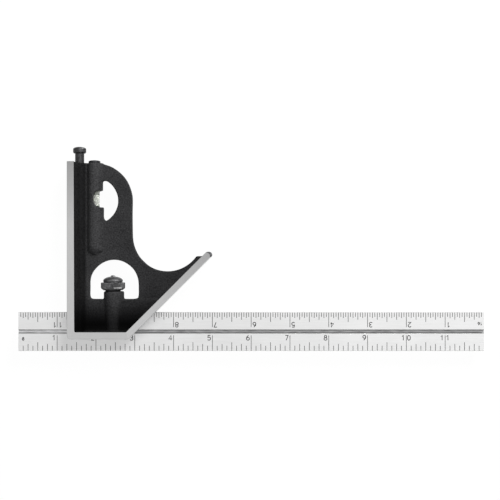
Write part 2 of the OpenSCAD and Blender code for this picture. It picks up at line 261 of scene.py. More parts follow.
def satin_chrome(base):
    """Hard chromed, blasted steel: a pale, soft sheen that takes shadows, with faint clouds and hairlines."""
    made, tree, shader, place = material("satin_chrome", base, Metallic=0.6, Roughness=0.3)
    clouds = add(tree, "TexNoise", {"Vector": place, "Scale": across(22), "Detail": 4.0, "Roughness": 0.6})
    along = add(tree, "Mapping", {"Vector": place, "Scale": (0.03, 1.0, 1.0)})
    # Hairlines of 0.1 mm, drawn 0.5 mm wide so that they show
    hair = add(tree, "TexNoise", {"Vector": along, "Scale": across(0.5), "Detail": 2.0})
    mixed = add(tree, "Math", [clouds, hair], operation="ADD")
    half = add(tree, "Math", [mixed, 0.5], operation="MULTIPLY")
    rough = add(tree, "MapRange", {"Value": hair, "To Min": 0.25, "To Max": 0.35})
    bump = add(tree, "Bump", {"Height": hair, "Strength": 0.15, "Distance": 0.02 * MM})
    wire(tree, shader, Base_Color=tone(tree, base, 0.93, 1.05, half), Roughness=rough, Normal=bump)
    return made


def bright_edge(base, name="bright_edge", metallic=0.5):
    """Chrome or steel rubbed bright where the edges are handled; on the nut's rim, a painted highlight."""
    made, tree, shader, place = material(name, base, Metallic=metallic, Roughness=0.25)
    rub_and_rib_light = add(tree, "TexNoise", {"Vector": place, "Scale": across(3), "Detail": 3.0})
    wire(tree, shader, Base_Color=tone(tree, base, 0.9, 1.08, rub_and_rib_light))
    return made


def milled_steel(name, base, low, high):
    """Steel as the cutter left it in the groove, with streaks along it; given a darker base, it is the
    corners' painted shade.
    """
    made, tree, shader, place = material(name, base, Metallic=1.0, Roughness=0.5)
    along = add(tree, "Mapping", {"Vector": place, "Scale": (0.12, 1.0, 1.0)})
    # Cutter marks of 0.2 mm, drawn 0.7 mm wide so that they show
    streak = add(tree, "TexNoise", {"Vector": along, "Scale": across(0.7), "Detail": 3.0})
    # The groove is paler along the short end, left of the head
    x = add(tree, "SeparateXYZ", [place]).outputs["X"]
    short_end_paler = add(tree, "MapRange", [x, -5 * MM, 30 * MM, 1.7, 1.0])
    bump = add(tree, "Bump", {"Height": streak, "Strength": 0.3, "Distance": 0.05 * MM})
    wire(tree, shader, Base_Color=tone(tree, base, low, high, streak, short_end_paler), Normal=bump)
    return made


def line_paint(base):
    """Black paint in the etched lines: matt, and slightly uneven."""
    made, tree, shader, place = material("line_paint", base, Roughness=0.7)
    wear = add(tree, "TexNoise", {"Vector": place, "Scale": across(1.5), "Detail": 2.0})
    wire(tree, shader, Base_Color=tone(tree, base, 0.6, 1.5, wear))
    return made


def ground_iron(name, base, degrees, shade_from, heel_light):
    """Cast iron off a surface grinder: satin, with fine marks along one direction and specks of graphite.
    Painted light and shade make it brighter near the heel and darker with distance from it."""
    made, tree, shader, place = material(name, base, Metallic=1.0, Roughness=0.33)
    turned_to = add(tree, "Mapping", {"Vector": place, "Rotation": (0.0, 0.0, math.radians(-degrees))})
    along = add(tree, "Mapping", {"Vector": turned_to, "Scale": (0.05, 1.0, 1.0)})
    # Grinding marks of 0.05 mm, drawn 0.4 mm wide so that they show
    marks = add(tree, "TexNoise", {"Vector": along, "Scale": across(0.4), "Detail": 2.0})
    specks = add(tree, "TexNoise", {"Vector": place, "Scale": across(0.6), "Detail": 3.0})
    mixed = add(tree, "Math", [marks, specks], operation="ADD")
    half = add(tree, "Math", [mixed, 0.5], operation="MULTIPLY")
    # Painted shade: the bands are painted darker with distance from the heel
    heel = (20 * MM, 10 * MM, HEAD_T * MM)
    far = add(tree, "VectorMath", [place, heel], operation="DISTANCE").outputs["Value"]
    heel_shade = add(tree, "MapRange", [far, shade_from * MM, 108 * MM, heel_light, 0.69])
    rough = add(tree, "MapRange", {"Value": marks, "To Min": 0.28, "To Max": 0.38})
    bump = add(tree, "Bump", {"Height": marks, "Strength": 0.2, "Distance": 0.02 * MM})
    wire(tree, shader, Base_Color=tone(tree, base, 0.93, 1.07, half, heel_shade), Roughness=rough, Normal=bump)
    return made


def wrinkle_enamel(base):
    """Black wrinkle enamel, sprayed and baked: a matt, finely puckered skin, with painted shade and painted
    light.
    """
    made, tree, shader, place = material("wrinkle_enamel", base, Roughness=0.6, Specular_IOR_Level=0.04)
    # Wrinkles of 0.3 mm, drawn 0.9 mm wide so that they show
    wrinkle = add(tree, "TexNoise", {"Vector": place, "Scale": across(0.9), "Detail": 2.0, "Roughness": 0.6})
    patches = add(tree, "TexNoise", {"Vector": place, "Scale": across(9), "Detail": 2.0})
    mixed = add(tree, "Mix", {"Factor": 0.2, "A": wrinkle, "B": patches})
    # Painted shade darkens the enamel low by the base, along the 90 degree face and out on the arm
    x, y, z = add(tree, "SeparateXYZ", [place]).outputs
    low = add(tree, "MapRange", [y, 9 * MM, 33 * MM, 0.02, 1.0], interpolation_type="SMOOTHSTEP")
    left = add(tree, "MapRange", [x, 10.4 * MM, 12.2 * MM, 0.26, 1.0])
    arm = add(tree, "MapRange", [x, 22 * MM, 56 * MM, 1.0, 0.7])
    # Painted light: the ribs, which stand proud, are painted paler and keep less of the painted shade
    from_mid = add(tree, "Math", [z, MID * MM], operation="SUBTRACT")
    proud = add(tree, "Math", [from_mid], operation="ABSOLUTE")
    rib = add(tree, "MapRange", [proud, 4.9 * MM, 6.3 * MM, 0.0, 0.22])
    floor = add(tree, "Mix", {"Factor": rib, "A": low, "B": 1.0})
    rub_and_rib_light = add(tree, "MapRange", [proud, 4.0 * MM, 5.6 * MM, 1.0, 1.32])
    corner = add(tree, "Math", [floor, left], operation="MULTIPLY")
    ends = add(tree, "Math", [rub_and_rib_light, arm], operation="MULTIPLY")
    shade = add(tree, "Math", [corner, ends], operation="MULTIPLY")
    bump = add(tree, "Bump", {"Height": wrinkle, "Strength": 1.0, "Distance": 0.3 * MM})
    wire(tree, shader, Base_Color=tone(tree, base, 0.45, 1.55, mixed, shade), Normal=bump)
    return made


def black_oxide(name, base, roughness):
    """Steel blacked in a hot bath: dark, with a film of oil, rubbed paler along its edges."""
    made, tree, shader, place = material(name, base, Metallic=1.0, Roughness=roughness)
    mottle = add(tree, "TexNoise", {"Vector": place, "Scale": across(1.6), "Detail": 3.0})
    edge = add(tree, "NewGeometry").outputs["Pointiness"]
    rub_and_rib_light = add(tree, "MapRange", [edge, 0.53, 0.62, 0.0, 0.6])
    shades = {"Factor": rub_and_rib_light, TINT_A: tone(tree, base, 0.6, 1.4, mottle), TINT_B: (*linear("#a0a0a0"), 1.0)}
    worn = add(tree, "Mix", shades, data_type="RGBA").outputs[TINTED]
    rough = add(tree, "MapRange", {"Value": mottle, "To Min": roughness - 0.06, "To Max": roughness + 0.08})
    bump = add(tree, "Bump", {"Height": mottle, "Strength": 0.15, "Distance": 0.03 * MM})
    wire(tree, shader, Base_Color=worn, Roughness=rough, Normal=bump)
    return made


def plain_metal(name, base, roughness):
    """Turned or drawn metal, with rings of tool marks along Y."""
    made, tree, shader, place = material(name, base, Metallic=1.0, Roughness=roughness)
    along = add(tree, "Mapping", {"Vector": place, "Scale": (0.05, 1.0, 0.05)})
    rings = add(tree, "TexNoise", {"Vector": along, "Scale": across(0.4), "Detail": 2.0})
    wire(tree, shader, Base_Color=tone(tree, base, 0.8, 1.2, rings))
    return made


def clear(name, base, ior, through=1.0, dark_side=1.0):
    """Glass, spirit or air: clear, with the faintest change of tint. Glass and spirit bend light less than
    the real ones, and the glass is a little milky, so that the small window stays bright at this size."""
    made, tree, shader, place = material(name, base, Roughness=0.05, IOR=ior, Transmission_Weight=through)
    drift = add(tree, "TexNoise", {"Vector": place, "Scale": across(6), "Detail": 1.0})
    # The side that lies deep in its bore is shaded by it
    x = add(tree, "SeparateXYZ", [place]).outputs["X"]
    deep = add(tree, "MapRange", [x, (VIAL_X - 1.6) * MM, (VIAL_X + 1.6) * MM, dark_side, 1.0])
    wire(tree, shader, Base_Color=tone(tree, base, 0.97, 1.0, drift, deep))
    return made


def chalky(name, base):
    """Cork, cement, ink or bare casting: matt and grainy."""
    made, tree, shader, place = material(name, base, Roughness=0.85)
    grains = add(tree, "TexNoise", {"Vector": place, "Scale": across(0.5), "Detail": 3.0})
    wire(tree, shader, Base_Color=tone(tree, base, 0.75, 1.1, grains))
    return made


def rounded(points, closed=False, steps=6):
    """Corner points (x, y, cut) with each corner turned into an arc that starts cut away from it."""
    out = []
    count = len(points)
    for i, (x, y, cut) in enumerate(points):
        corner = Vector((x, y))
        if cut <= 0 or (not closed and i in (0, count - 1)):
            out.append(corner)
            continue
        back = (Vector(points[i - 1][:2]) - corner).normalized()
        on = (Vector(points[(i + 1) % count][:2]) - corner).normalized()
        half = back.angle(on) / 2
        centre = corner + (back + on).normalized() * cut / math.cos(half)
        start, end = corner + back * cut - centre, corner + on * cut - centre
        turn = start.angle(end)
        for step in range(steps + 1):
            part = step / steps
            mix = math.sin((1 - part) * turn) * start + math.sin(part * turn) * end
            out.append(centre + mix / math.sin(turn))
    return [p for i, p in enumerate(out) if not i or (p - out[i - 1]).length > 0.005]


def cap(radius, foot, height, steps=12, end=0.0):
    """Elliptical profile of a domed top, from its rim to the radius end."""
    last = math.acos(end / radius)
    turns = [last * step / steps for step in range(1, steps + 1)]
    return [Vector((radius * math.cos(turn), foot + height * math.sin(turn))) for turn in turns]


def piece(name, verts, faces, materials, slots=None, smooth=True):
    """An object from points in millimetres, closed up and with its faces turned outwards."""
    mesh = bpy.data.meshes.new(name)
    mesh.from_pydata([tuple(v) for v in verts], [], faces)
    for each in materials:
        mesh.materials.append(each)
    bm = bmesh.new()
    bm.from_mesh(mesh)
    if slots:
        for face, slot in zip(bm.faces, slots):
            face.material_index = slot
    bmesh.ops.remove_doubles(bm, verts=bm.verts, dist=WELD)
    bmesh.ops.recalc_face_normals(bm, faces=bm.faces)
    for face in bm.faces:
        face.smooth = smooth
    bm.to_mesh(mesh)
    bm.free()
    made = bpy.data.objects.new(name, mesh)
    bpy.context.scene.collection.objects.link(made)
    return made


def to_metres(made):
    """Turns a piece that was built in millimetres into metres."""
    made.data.transform(Matrix.Scale(MM, 4))
    made.data.update()
    return made


def settle(made):
    """Applies a piece's modifiers."""
    graph = bpy.context.evaluated_depsgraph_get()
    mesh = bpy.data.meshes.new_from_object(made.evaluated_get(graph))
    made.modifiers.clear()
    made.data = mesh
    return made


def carve(made, tool, operation, touching=False):
    """Cuts a piece with a tool, which is used up. A CAD solid's faces may touch each other."""
    cut = made.modifiers.new("carve", "BOOLEAN")
    cut.object = tool
    cut.operation = operation
    cut.solver = "EXACT"
    cut.use_self = touching
    settle(made)
    bpy.data.objects.remove(tool)
    return made


def solid_copy(node, name):
    """A copy of a CAD node in millimetres, welded where its faces meet."""
    mesh = frame["nodes"][node].data.copy()
    mesh.transform(Matrix.Scale(1 / MM, 4))
    bm = bmesh.new()
    bm.from_mesh(mesh)
    bmesh.ops.remove_doubles(bm, verts=bm.verts, dist=WELD)
    bm.to_mesh(mesh)
    bm.free()
    mesh.materials.clear()
    made = bpy.data.objects.new(name, mesh)
    bpy.context.scene.collection.objects.link(made)
    return made


def prism(name, outline, levels, materials, spread=None):
    """A block with that outline: levels are (height, inset), from the bottom up, and spread may widen the
    inset at a point."""
    count = len(outline)
    pushes = []
    for i in range(count):
        back = (outline[i] - outline[i - 1]).normalized()
        on = (outline[(i + 1) % count] - outline[i]).normalized()
        sides = Vector((-back.y, back.x)) + Vector((-on.y, on.x))
        wider = spread(outline[i]) if spread else 1.0
        pushes.append(sides.normalized() * wider / max(0.5, math.cos(back.angle(on) / 2)))
    verts, faces = [], []
    for z, inset in levels:
        verts += [(*(outline[i] + pushes[i] * inset), z) for i in range(count)]
    for k in range(len(levels) - 1):
        for i in range(count):
            j = (i + 1) % count
            faces.append((k * count + i, k * count + j, (k + 1) * count + j, (k + 1) * count + i))
    faces += [tuple(range(count))[::-1], tuple(range((len(levels) - 1) * count, len(levels) * count))]
    return piece(name, verts, faces, materials, smooth=False)


def block(low, high):
    """A plain box, used as a cutting tool."""
    (x0, y0, z0), (x1, y1, z1) = low, high
    corners = [Vector(corner) for corner in ((x0, y0), (x1, y0), (x1, y1), (x0, y1))]
    return prism("tool", corners, [(z0, 0.0), (z1, 0.0)], [])


def turned(name, profile, x, materials, z=MID, sides=96, closed=False, wave=None):
    """A piece turned about an axis along Y: profile is (radius, height), and wave may change the radius."""
    verts, faces, rings = [], [], []
    for r, y in profile:
        if r < 1e-6:
            rings.append([len(verts)] * sides)
            verts.append((x, y, z))
            continue
        rings.append(list(range(len(verts), len(verts) + sides)))
        for k in range(sides):
            angle = 2 * math.pi * k / sides
            at = wave(r, y, angle) if wave else r
            verts.append((x + at * math.sin(angle), y, z + at * math.cos(angle)))
    pairs = list(zip(rings, rings[1:] + rings[:1]))
    for one, two in pairs if closed else pairs[:-1]:
        for k in range(sides):
            j = (k + 1) % sides
            loop = list(dict.fromkeys((one[k], one[j], two[j], two[k])))
            if len(loop) > 2:
                faces.append(tuple(loop))
    return piece(name, verts, faces, materials)


def score(made, start, end):
    """Scores a piece's faces along a line, so that each side can have its own finish."""
    bm = bmesh.new()
    bm.from_mesh(made.data)
    along = Vector(end) - Vector(start)
    everything = bm.verts[:] + bm.edges[:] + bm.faces[:]
    bmesh.ops.bisect_plane(bm, geom=everything, plane_co=(*start, 0.0), plane_no=(-along.y, along.x, 0.0))
    bm.to_mesh(made.data)
    bm.free()


def soft_edges(made, width, degrees=30.0):
    """Rounds a piece's sharp edges and keeps its flats flat."""
    edge = made.modifiers.new("edges", "BEVEL")
    edge.width = width
    edge.segments = 2
    edge.limit_method = "ANGLE"
    edge.angle_limit = math.radians(degrees)
    edge.use_clamp_overlap = True
    settle(made)
    made.data.set_sharp_from_angle(angle=math.radians(degrees))
    return made


def glints():
    """The collection of the dark steel pieces, which alone mirror the lamps."""
    return bpy.data.collections.get("glints") or bpy.data.collections.new("glints")


def place(made, body, slot, *nodes):
    """Puts a finished piece on its body, adds it to the glints if its slot is dark steel, and hides its
    nodes.
    """
    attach(made, body)
    if slot in ("lock_steel", "scriber_steel", "plug_steel"):
        glints().objects.link(made)
    if nodes:
        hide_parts(*nodes)
    return made


def finish_node(node, made):
    """Gives a CAD node its material."""
    mesh = frame["nodes"][node].data
    mesh.materials.clear()
    mesh.materials.append(made)


# The finishes of the rule, by the order of its materials
CHROME, PAINT, CORNER, BRIGHT, FLOOR = range(5)

# Lengths of the rule's lines, from the inch line to the finest, by how many lines there are to the inch
LINES = {
    8: (10.2, 5.7, 4.6, 3.4),
    16: (9.8, 6.4, 4.9, 3.8, 3.1),
    32: (9.8, 6.2, 4.8, 3.7, 2.9, 2.1),
    64: (9.8, 6.2, 4.8, 3.7, 3.0, 2.3, 1.6),
}


def groove_profile():
    """The groove's rows (across, height, finish): bright rims, painted shade in the corners, a paler floor.
    """
    left, right = GROOVE
    bottom = -GROOVE_DEPTH
    # The corners' painted shade reaches half a millimetre onto the floor
    rim, lip, toe, shade_width = 0.2, 0.12, 0.12, 0.5
    return [
        (left - rim, 0.0, BRIGHT),
        (left, -lip, CORNER),
        (left, bottom + toe, CORNER),
        (left + toe, bottom, CORNER),
        (left + shade_width, bottom, FLOOR),
        (right - shade_width, bottom, CORNER),
        (right - toe, bottom, CORNER),
        (right, bottom + toe, CORNER),
        (right, -lip, BRIGHT),
        (right + rim, 0.0, CHROME),
    ]


def face_rows(per_low, per_high, middle, edge):
    """Rows of a face's profile, with the middle's among them: there is one wherever a line may end."""
    levels = {edge, RULE_W - edge, *LINES[per_low], *(RULE_W - size for size in LINES[per_high])}
    rows = [(0.0, -edge, BRIGHT)]
    rows += [(v, 0.0, CHROME) for v in sorted(levels)]
    rows.append((RULE_W, -edge, CHROME))
    if middle:
        before = [row for row in rows if row[0] < middle[0][0]]
        after = [row for row in rows if row[0] > middle[-1][0]]
        rows = before + middle + after
    return rows


def mark_length(k, per_inch):
    """Length of line k on a scale."""
    for step, size in enumerate(LINES[per_inch]):
        if k * 2**step % per_inch == 0:
            return size
    return 0.0


def face_cells(scales, profile, slots, flats, width, depth):
    """One face of the rule as loose cells: the lines are sunk cells, with walls round them. scales are the
    lines to the inch along the lower edge and the upper one, and flats are the rows that a line may cross."""
    fine = max(scales)
    cuts = [0.0]
    for k in range(1, INCHES * fine):
        cuts += [k * INCH / fine - width / 2, k * INCH / fine + width / 2]
    cuts.append(RULE_L)
    reach = {}
    for column in range(1, len(cuts) - 1, 2):
        k = (column + 1) // 2
        reach[column] = [
            mark_length(k * per_inch // fine, per_inch) if k * per_inch % fine == 0 else 0.0
            for per_inch in scales
        ]

    def sunk(column, row):
        if column not in reach or row not in flats:
            return False
        low, high = reach[column]
        return profile[row + 1][0] <= low + 1e-6 or RULE_W - profile[row][0] <= high + 1e-6

    cells, cell_slots = [], []
    for column in range(len(cuts) - 1):
        a, b = cuts[column], cuts[column + 1]
        for row in range(len(profile) - 1):
            (v0, h0), (v1, h1) = profile[row], profile[row + 1]
            if not sunk(column, row):
                cells.append([(a, v0, h0), (b, v0, h0), (b, v1, h1), (a, v1, h1)])
                cell_slots.append(slots[row])
                continue
            cells.append([(a, v0, -depth), (b, v0, -depth), (b, v1, -depth), (a, v1, -depth)])
            sides = [(a, v0, a, v1), (b, v0, b, v1)]
            if not sunk(column, row - 1):
                sides.append((a, v0, b, v0))
            if not sunk(column, row + 1):
                sides.append((a, v1, b, v1))
            cells += [[(p, q, 0.0), (r, s, 0.0), (r, s, -depth), (p, q, -depth)] for p, q, r, s in sides]
            cell_slots += [PAINT] * (len(sides) + 1)
    return cells, cell_slots, cuts


def bow(x, y, rx, ry, start, end, steps=14):
    """Points of an elliptical arc."""
    angles = [math.radians(start + (end - start) * i / steps) for i in range(steps + 1)]
    return [(x + rx * math.cos(a), y + ry * math.sin(a)) for a in angles]


# Strokes of plain engraved digits, DIGIT_W wide and 1 high, which stand DIGIT_GAP apart
DIGITS = {
    "0": [bow(0.31, 0.5, 0.31, 0.5, 0, 360)],
    "1": [[(0.1, 0.74), (0.36, 1.0), (0.36, 0.0)]],
    "2": [bow(0.31, 0.7, 0.29, 0.3, 165, -38) + [(0.02, 0.0), (0.62, 0.0)]],
    "3": [bow(0.29, 0.74, 0.27, 0.26, 150, -90) + bow(0.29, 0.25, 0.32, 0.25, 90, -150)],
    "4": [[(0.46, 0.0), (0.46, 1.0), (0.0, 0.28), (0.64, 0.28)]],
    "5": [[(0.57, 1.0), (0.1, 1.0), (0.06, 0.55)] + bow(0.29, 0.32, 0.32, 0.32, 125, -150)],
    "6": [bow(0.31, 0.3, 0.3, 0.3, 180, 540), [(0.01, 0.3), (0.1, 0.66), (0.42, 1.0)]],
    "7": [[(0.02, 1.0), (0.6, 1.0), (0.22, 0.0)]],
    "8": [bow(0.31, 0.76, 0.25, 0.24, 0, 360), bow(0.31, 0.26, 0.31, 0.26, 0, 360)],
    "9": [bow(0.31, 0.7, 0.3, 0.3, 0, 360), [(0.61, 0.7), (0.52, 0.34), (0.2, 0.0)]],
}
DIGIT_W = 0.62
DIGIT_GAP = 0.24


def stroke_cells(points, width, rise, sink):
    """A painted stroke as a thin closed strip along the points, in the face's own axes."""
    pts = [Vector(p) for p in points]
    loop = (pts[0] - pts[-1]).length < 1e-6
    if loop:
        pts = pts[:-1]
    count = len(pts)
    rails = []
    for i, p in enumerate(pts):
        back = (p - pts[i - 1]).normalized() if i or loop else (pts[1] - p).normalized()
        on = (pts[(i + 1) % count] - p).normalized() if i < count - 1 or loop else back
        side = Vector((-back.y - on.y, back.x + on.x)).normalized()
        side *= width / 2 / max(0.6, math.cos(back.angle(on) / 2))
        rails.append((p - side, p + side))
    cells = []
    for i in range(count if loop else count - 1):
        (a, b), (c, d) = rails[i], rails[(i + 1) % count]
        cells += [
            [(*a, rise), (*c, rise), (*d, rise), (*b, rise)],
            [(*a, sink), (*b, sink), (*d, sink), (*c, sink)],
            [(*a, sink), (*c, sink), (*c, rise), (*a, rise)],
            [(*b, sink), (*b, rise), (*d, rise), (*d, sink)],
        ]
    if not loop:
        for a, b in (rails[0], rails[-1]):
            cells.append([(*a, sink), (*a, rise), (*b, rise), (*b, sink)])
    return cells


def number_cells(text, x, y, height, stroke, rise):
    """The strokes of a number whose first digit stands at x, y."""
    cells = []
    for i, digit in enumerate(text):
        for points in DIGITS[digit]:
            left = x + i * (DIGIT_W + DIGIT_GAP) * height
            placed = [(left + px * height, y + py * height) for px, py in points]
            cells += stroke_cells(placed, stroke, rise, -rise)
    return cells


def scale_numbers(per_inch, height, stroke, rise):
    """Inch numbers and the small figure that names a scale, for the lower edge. Two digits stand astride
    their line, at a gap before it and at a smaller one after it."""
    gap, after = 1.15, 0.69
    foot, wide = LINES[per_inch][0] - height, DIGIT_W * height
    cells = []
    for inch in range(1, INCHES):
        text, x = str(inch), inch * INCH
        cells += number_cells(text[0], x - gap - wide, foot, height, stroke, rise)
        if len(text) > 1:
            cells += number_cells(text[1], x + after, foot, height, stroke, rise)
    label = str(per_inch)
    start = 2.6 if len(label) == 1 else 1.3
    return cells + number_cells(label, start, foot, height * 0.58, stroke * 0.9, rise)


def face_numbers(per_low, per_high, height, stroke, rise):
    """The numbers of a face's two scales: those of the upper one stand on their heads."""
    cells = scale_numbers(per_low, height, stroke, rise)
    for cell in scale_numbers(per_high, height, stroke, rise):
        cells.append([(RULE_L - u, RULE_W - v, h) for u, v, h in cell])
    return cells


class SQUARE_OT_rule(Operator):
    """Builds the graduated rule: etched lines and numbers on both faces, and the groove"""

    bl_idname = "square.rule"
    bl_label = "Rule"

    def execute(self, context):
        sizes = context.scene.square_rule
        edge, depth = sizes.edge / MM, sizes.line_depth / MM
        height, stroke = sizes.digit_height / MM, sizes.digit_stroke / MM
        low, high = (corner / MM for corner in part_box("rule"))
        # The numbers' paint stands this much proud of the face
        rise = 0.012
        cells, slots, edges, ends = [], [], [], []
        # The front, then the back: lines to the inch low down and high up, middle, and width of the lines
        for per_low, per_high, middle, width, front in (
            (8, 16, groove_profile(), sizes.line_width / MM, True),
            (32, 64, [], sizes.fine_width / MM, False),
        ):
            rows = face_rows(per_low, per_high, middle, edge)
            profile = [row[:2] for row in rows]
            flats = {i for i in range(len(rows) - 1) if rows[i][1] == 0 and rows[i + 1][1] == 0}
            finishes = [row[2] for row in rows]
            made, made_slots, cuts = face_cells((per_low, per_high), profile, finishes, flats, width, depth)
            numbers = face_numbers(per_low, per_high, height, stroke, rise)
            made_slots += [PAINT] * len(numbers)
            made += numbers

            def world(u, v, h):
                if front:
                    return low.x + u, low.y + v, high.z + h
                return low.x + u, high.y - v, low.z - h

            cells += [[world(*point) for point in cell] for cell in made]
            slots += made_slots
            sides = (0.0, RULE_W) if front else (RULE_W, 0.0)
            edges.append([[world(u, v, -edge) for u in cuts] for v in sides])
            ends.append([[world(u, v, h) for v, h in profile] for u in (0.0, RULE_L)])
        # The two edges and the two ends close it
        for side in (0, 1):
            cells.append(edges[0][side] + edges[1][side][::-1])
            cells.append(ends[0][side] + ends[1][side])
            slots += [CHROME, CHROME]
        verts = [point for cell in cells for point in cell]
        polygons, index = [], 0
        for cell in cells:
            polygons.append(tuple(range(index, index + len(cell))))
            index += len(cell)
        materials = [
            satin_chrome(sizes.face_colour),
            line_paint(sizes.paint_colour),
            # Painted shade: the groove's corners are given darker steel
            milled_steel("groove_corner", linear("#6a6a6b"), 0.5, 1.4),
            bright_edge(linear("#ececeb")),
            milled_steel("groove_floor", linear("#ababac"), 0.7, 1.3),
        ]
        made = piece("graduated_rule", verts, polygons, materials, slots, smooth=False)
        place(to_metres(made), "rule", "rule_steel", "rule")
        return {"FINISHED"}


def band_outline():
    """Outline of the ground bands, from the heel round to the top of the 90 degree face."""

    def on_mitre(along, inward):
        return BASE_L + (along - inward) * DIAGONAL, (along + inward) * DIAGONAL

    tip = MITRE_BAND / 2
    corners = [
        (0.0, 0.0, HEEL_R),
        (BASE_L, 0.0, 0.4),
        (*on_mitre(MITRE_L, 0.0), tip),
        # A hair less, so that the tip's two arcs don't end in the same point
        (*on_mitre(MITRE_L, MITRE_BAND), tip - 0.001),
        (MITRE_INNER + BASE_INNER, BASE_INNER, 0.4),
        (SQUARE_BAND, BASE_INNER, 1.0),
        (SQUARE_BAND - SQUARE_TAPER, HEAD_H, 0.3),
        (0.0, HEAD_H, 0.3),
    ]
    return rounded(corners, closed=True, steps=8)


# Where the casting's fettled outline departs from its drawing: x and y of a place, and how far off it is
FETTLED = (
    (38.3, 100.3, 0.3, 0.0), (40.4, 90.4, 0.5, 0.0), (40.4, 80.6, 0.33, 0.0), (40.4, 70.8, 0.4, 0.0),
    (40.6, 64.2, 0.6, 0.0), (42.5, 57.7, 0.5, 0.2), (46.6, 51.1, 0.4, 0.26), (29.7, 110.4, 0.0, 0.4),
    (36.2, 103.9, 0.3, 0.35), (23.1, 104.0, 0.0, -0.8), (26.4, 102.4, 0.0, -0.66), (30.0, 97.0, -0.28, 0.0),
    (31.3, 90.4, 0.28, 0.0), (30.0, 83.9, 0.25, 0.0), (26.4, 78.9, 0.0, -0.55), (23.1, 77.0, 0.0, 0.0),
    (21.4, 82.6, 0.5, 0.0), (21.4, 78.7, 0.57, 0.0), (21.4, 100.3, 0.0, 0.0), (21.4, 98.0, 0.0, 0.0),
    (20.5, 96.7, 0.0, -0.6), (20.5, 85.5, 0.0, 0.0), (18.3, 97.0, 0.0, 0.0), (12.4, 28.2, 0.8, 0.0),
    (12.4, 34.7, 0.8, 0.0), (13.5, 41.3, 0.3, 0.0), (16.8, 46.9, 0.25, -0.65), (22.0, 50.3, 0.0, -0.5),
    (28.4, 51.9, 0.0, -0.45), (33.0, 51.3, 0.0, -0.35), (39.5, 48.2, -0.2, -0.5), (44.2, 41.3, -0.3, 0.0),
    (45.2, 34.7, -0.16, 0.0), (45.2, 28.2, -0.2, 0.0), (16.8, 25.7, 0.0, 0.0), (40.0, 25.7, 0.0, 0.0),
    (35.0, 27.5, 0.3, 0.0), (21.9, 27.5, 0.1, 0.0),
)

# The same for its small places, after that
TOUCHED_UP = (
    (15.5, 90.9, 0.6, 0.0), (16.1, 93.4, 0.3, 0.4), (17.6, 95.2, 0.0, 0.6), (19.4, 96.1, 0.0, 0.2),
    (21.6, 96.6, 0.0, 0.6), (16.2, 88.2, 0.3, 0.0), (21.6, 84.6, 0.4, 0.0), (21.6, 81.5, 0.3, 0.0),
    (23.1, 104.3, 0.0, -0.45), (22.8, 77.3, 0.7, 0.4), (13.4, 57.2, -0.5, -0.9), (16.7, 55.4, 0.6, -1.5),
    (20.5, 58.0, 1.5, -1.0), (21.5, 62.5, 1.0, 0.0), (21.5, 67.0, 0.6, 0.0), (12.6, 25.7, 0.4, 0.4),
    (44.9, 25.7, -0.4, 0.4),
)


def fettle(made, table, reach):
    """Moves a piece's surface to the fettled outline in the drawing's plane, fading out with distance."""
    places = [(Vector((x, y)), Vector((dx, dy))) for x, y, dx, dy in table]
    for vertex in made.data.vertices:
        spot = vertex.co.xy
        total, push = 0.0, Vector((0.0, 0.0))
        for where, move in places:
            far = (spot - where).length_squared
            if far < 9 * reach * reach:
                weight = math.exp(-far / (reach * reach))
                total += weight
                push += move * weight
        vertex.co.xy = spot + push / max(0.9, total)


def slot_tool(room=0.0):
    """The block that cuts the rule's slot, from before the 90 degree face to past the arm's end."""
    half, past_arm = SLOT_T / 2 + room, 100.0
    return block((-PAST, -PAST, MID - half), (past_arm, RULE_SEAT + room, MID + half))


def enamelled_casting(sizes, enamel):
    """The casting between its ground bands, with soft cast edges."""
    # It reaches under the bands by so much, and lies so much lower than their faces
    under, lower = 0.95, 2.5
    foot, left, above = BASE_BAND - under, SQUARE_BAND - under, HEAD_H + 3 * PAST
    reach = BASE_L - (MITRE_BAND - under) / DIAGONAL
    corners = ((left, foot), (reach + foot, foot), (reach + above, above), (left, above))
    inside = [Vector(corner) for corner in corners]
    casting = solid_copy("square_head", "enamelled_casting")
    carve(casting, prism("tool", inside, [(lower, 0.0), (HEAD_T - lower, 0.0)], []), "INTERSECT", True)
    carve(casting, slot_tool(0.35), "DIFFERENCE", True)
    cells = casting.modifiers.new("cells", "REMESH")
    cells.mode = "VOXEL"
    cells.voxel_size = sizes.grain / MM
    cells.use_smooth_shade = True
    soften = casting.modifiers.new("soften", "SMOOTH")
    soften.factor = 0.5
    soften.iterations = sizes.softness
    settle(casting)
    fettle(casting, FETTLED, 5.5)
    fettle(casting, TOUCHED_UP, 2.0)
    # The level's bore is white behind the glass, where the sight opening shows it
    bore_r, shown = 3.7, 9.0
    casting.data.materials.append(enamel)
    casting.data.materials.append(chalky("white_backing", linear("#e9ece6")))
    for face in casting.data.polygons:
        x, y, z = face.center
        if math.hypot(x - VIAL_X, z - MID) < bore_r and abs(y - SIGHT_Y) < shown:
            face.material_index = 1
    place(to_metres(casting), "head", "head_iron", "square_head")


